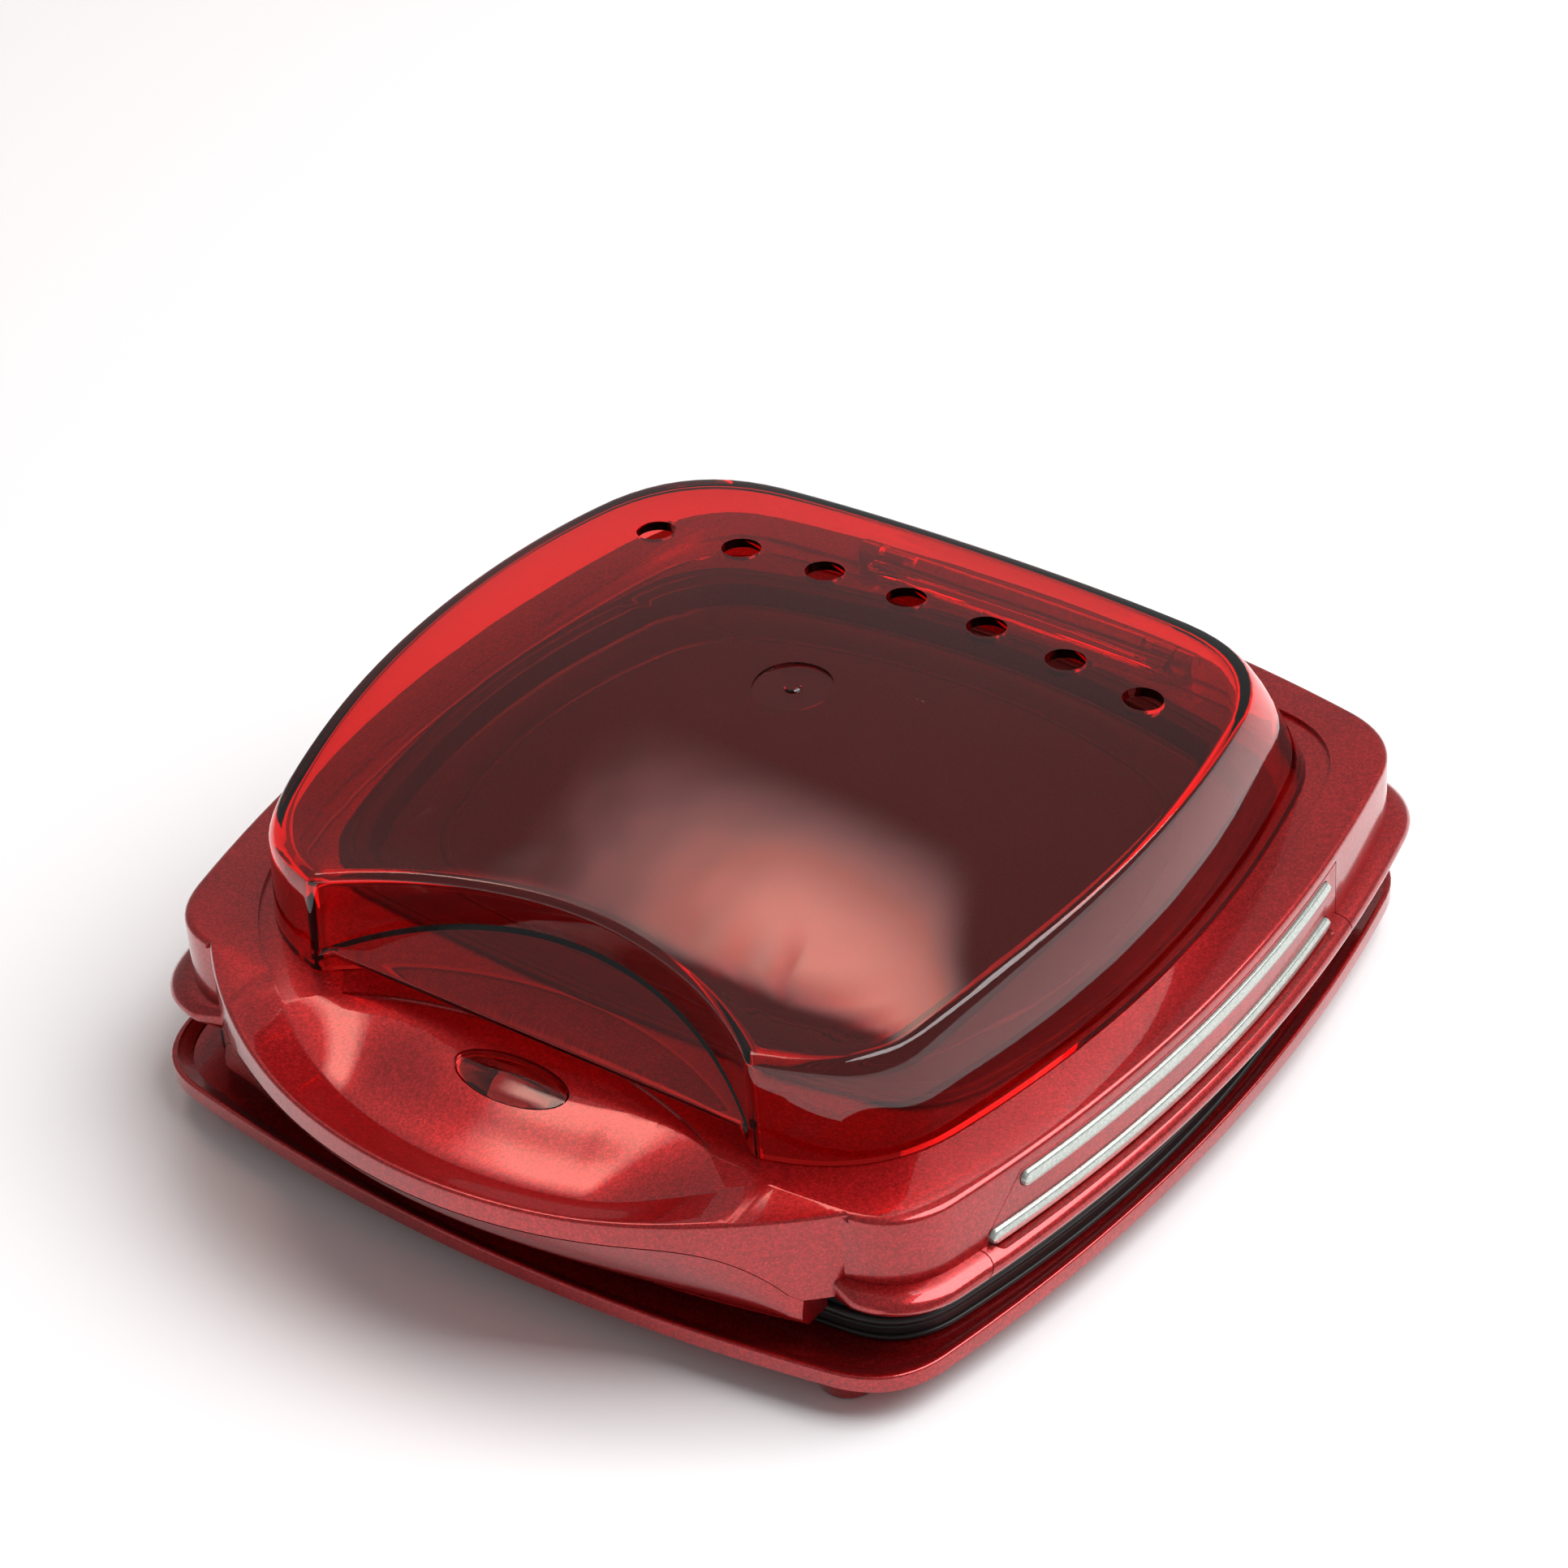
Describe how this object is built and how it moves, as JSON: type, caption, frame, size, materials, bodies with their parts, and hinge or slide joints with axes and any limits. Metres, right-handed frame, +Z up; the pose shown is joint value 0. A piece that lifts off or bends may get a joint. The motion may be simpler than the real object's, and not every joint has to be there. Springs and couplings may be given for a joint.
{
  "type": "burger maker",
  "caption": "Red electric contact grill for burgers with a front handle, black plates and a clear red bun cover hinged on the lid.",
  "frame": {"origin": "On the table, below the middle of the whole outline, with the lid and the cover shut.", "axes": "+X to the right seen from the handle, +Y from the handle to the hinges, +Z up."},
  "size_m": [0.2566, 0.276, 0.092],
  "materials": {
    "red_paint": "glossy metallic",
    "clear_red": "clear, polished",
    "black_plastic": "satin",
    "nonstick": "non-stick coated",
    "silver_trim": "satin silver",
    "steel": "bright",
    "rubber": "matt",
    "ceramic": "white, satin"
  },
  "bodies": {
    "base": {"base_shell": "red_paint", "base_bottom_cover": "black_plastic", "foot_pad_front_left": "rubber", "foot_pad_front_right": "rubber", "foot_pad_back_left": "rubber", "foot_pad_back_right": "rubber", "lid_hinge_pin_left": "steel", "lid_hinge_pin_right": "steel", "lower_bezel": "black_plastic", "lower_cooking_plate": "nonstick", "lower_heating_element": "steel", "lower_heat_shield": "steel", "base_screw_1": "steel", "base_screw_2": "steel", "base_screw_3": "steel", "base_screw_4": "steel"},
    "lid": {"upper_shell": "red_paint", "handle_underside": "red_paint", "side_panel_left": "red_paint", "side_panel_right": "red_paint", "trim_strip_upper_left": "silver_trim", "trim_strip_lower_left": "silver_trim", "trim_strip_upper_right": "silver_trim", "trim_strip_lower_right": "silver_trim", "indicator_lens": "clear_red", "indicator_lamp": "ceramic", "upper_bezel": "black_plastic", "upper_cooking_plate": "nonstick", "upper_heating_element": "steel", "upper_heat_shield": "steel", "bun_warming_plate": "nonstick", "thermostat": "ceramic", "thermal_fuse": "ceramic", "terminal_block": "ceramic", "cord_bushing": "rubber", "lid_screw_1": "steel", "lid_screw_2": "steel", "lid_screw_3": "steel", "lid_screw_4": "steel", "cover_hinge_pin_left": "steel", "cover_hinge_pin_right": "steel"},
    "cover": {"bun_cover": "clear_red"}
  },
  "joints": [
    {"name": "lid_hinge", "type": "hinge", "parent": "base", "child": "lid", "pos_m": [0, 0.128, 0.027], "axis": [-1, 0, 0], "range_deg": [0, 100]},
    {"name": "cover_hinge", "type": "hinge", "parent": "lid", "child": "cover", "pos_m": [0, 0.1222, 0.0559], "axis": [-1, 0, 0], "range_deg": [0, 100]}
  ]
}
